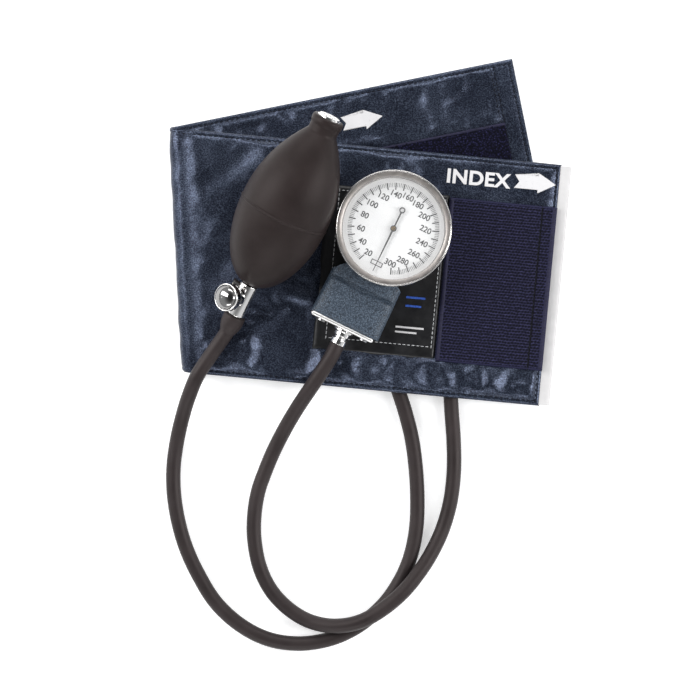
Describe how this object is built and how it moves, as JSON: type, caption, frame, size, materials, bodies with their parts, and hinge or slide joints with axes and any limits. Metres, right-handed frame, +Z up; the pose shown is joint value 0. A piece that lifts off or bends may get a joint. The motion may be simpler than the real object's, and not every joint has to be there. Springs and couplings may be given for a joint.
{
  "type": "blood pressure cuff",
  "caption": "Child-size blood pressure cuff folded once, with aneroid gauge in a leatherette holder, rubber bulb with release valve and two looping rubber tubes.",
  "frame": {"origin": "on the table, under the middle of the folded cuff", "axes": "+Z up from the table, +X along the cuff's longest extent towards its open end, +Y across it towards the tail's corner"},
  "size_m": [0.1813, 0.2659, 0.0546],
  "materials": {
    "nylon_navy": "satin",
    "hook_tape": "matte",
    "loop_tape": "matte",
    "label_black": "satin",
    "strap_blue": "satin",
    "strip_white": "satin",
    "rubber_black": "matte",
    "chrome": "polished",
    "steel": "satin",
    "brass": "satin",
    "dial_white": "matte",
    "pointer_black": "matte",
    "clear_lens": "polished"
  },
  "bodies": {
    "cuff": {"fold_web": "nylon_navy", "front_inner_cover": "nylon_navy", "front_outer_cover": "nylon_navy", "bladder": "rubber_black", "bladder_ports": "rubber_black", "index_strip": "strip_white", "hook_patch": "hook_tape", "label_patch": "label_black", "gauge_strap": "strap_blue", "gauge_neck": "steel", "end_plate": "chrome", "end_plate_screws": "steel", "port_nipple": "chrome", "gauge_case": "steel", "bezel_ring": "chrome", "lens": "clear_lens", "lens_gasket": "rubber_black", "dial_plate": "dial_white", "capsule_stud": "brass", "capsule_lower": "brass", "movement_plate": "brass", "movement_pillars": "brass", "movement_screws": "steel", "movement_bridge": "brass", "bridge_posts": "brass", "hairspring": "steel", "bulb_shell": "rubber_black", "inlet_valve_body": "chrome", "inlet_retainer": "steel", "inlet_cap": "chrome", "valve_barrel": "chrome", "valve_side_plug": "chrome", "outlet_seat": "steel", "outlet_stop": "steel", "release_o_ring": "rubber_black", "bulb_tube": "rubber_black", "gauge_tube": "rubber_black", "bulb_tube_boot": "rubber_black"},
    "tail": {"tail_outer_cover": "nylon_navy", "tail_inner_cover": "nylon_navy", "loop_patch": "loop_tape", "tail_end_hem": "nylon_navy"},
    "pointer_set": {"pinion_arbor": "steel", "pointer": "pointer_black", "pointer_hub": "brass"},
    "sector": {"sector_gear": "brass"},
    "rocker": {"rocking_shaft": "steel"},
    "capsule_top": {"capsule_upper": "brass"},
    "bleed_needle": {"valve_needle": "brass"},
    "bleed_knob": {"release_stem": "steel", "release_knob": "chrome", "lock_ring": "chrome"},
    "inlet_check": {"inlet_ball": "steel"},
    "outlet_check": {"outlet_ball": "steel"}
  },
  "joints": [
    {"name": "cuff_fold", "type": "hinge", "parent": "cuff", "child": "tail", "pos_m": [-0.0818, -0.0078, 0.0057], "axis": [-0.0523, 0.9986, 0], "range_deg": [0, 180], "deforming": ["fold_web"]},
    {"name": "pointer_turn", "type": "hinge", "parent": "cuff", "child": "pointer_set", "pos_m": [0.0103, 0.0008, 0.0312], "axis": [0, 0, -1], "range_deg": [0, 338]},
    {"name": "sector_turn", "type": "hinge", "parent": "cuff", "child": "sector", "pos_m": [0.01031, 0.01405, 0.0262], "axis": [0, 0, 1], "range_deg": [0, 34]},
    {"name": "rocker_turn", "type": "hinge", "parent": "cuff", "child": "rocker", "pos_m": [0.00626, 0.00277, 0.0226], "axis": [-0.4384, -0.8988, 0], "range_deg": [0, 20.5]},
    {"name": "capsule_lift", "type": "slide", "parent": "cuff", "child": "capsule_top", "axis": [0, 0, 1], "range_m": [0, 0.0014]},
    {"name": "bleed_travel", "type": "slide", "parent": "cuff", "child": "bleed_needle", "axis": [-0.5475, 0.0215, 0.8365], "range_m": [0, 0.0008]},
    {"name": "bleed_turn", "type": "hinge", "parent": "bleed_needle", "child": "bleed_knob", "pos_m": [-0.06106, -0.02916, 0.03029], "axis": [-0.5475, 0.0215, 0.8365], "range_deg": [0, 451]},
    {"name": "inlet_open", "type": "slide", "parent": "cuff", "child": "inlet_check", "axis": [-0.4295, -0.8652, -0.2588], "range_m": [0, 0.001]},
    {"name": "outlet_open", "type": "slide", "parent": "cuff", "child": "outlet_check", "axis": [-0.4295, -0.8652, -0.2588], "range_m": [0, 0.0008]}
  ],
  "couplings": [
    {"joint": "rocker_turn", "follows": "capsule_lift", "rad_per_m": 249.33},
    {"joint": "sector_turn", "follows": "capsule_lift", "rad_per_m": 420.75},
    {"joint": "pointer_turn", "follows": "capsule_lift", "rad_per_m": 4207.5},
    {"joint": "bleed_turn", "follows": "bleed_travel", "rad_per_m": 9817.5}
  ]
}
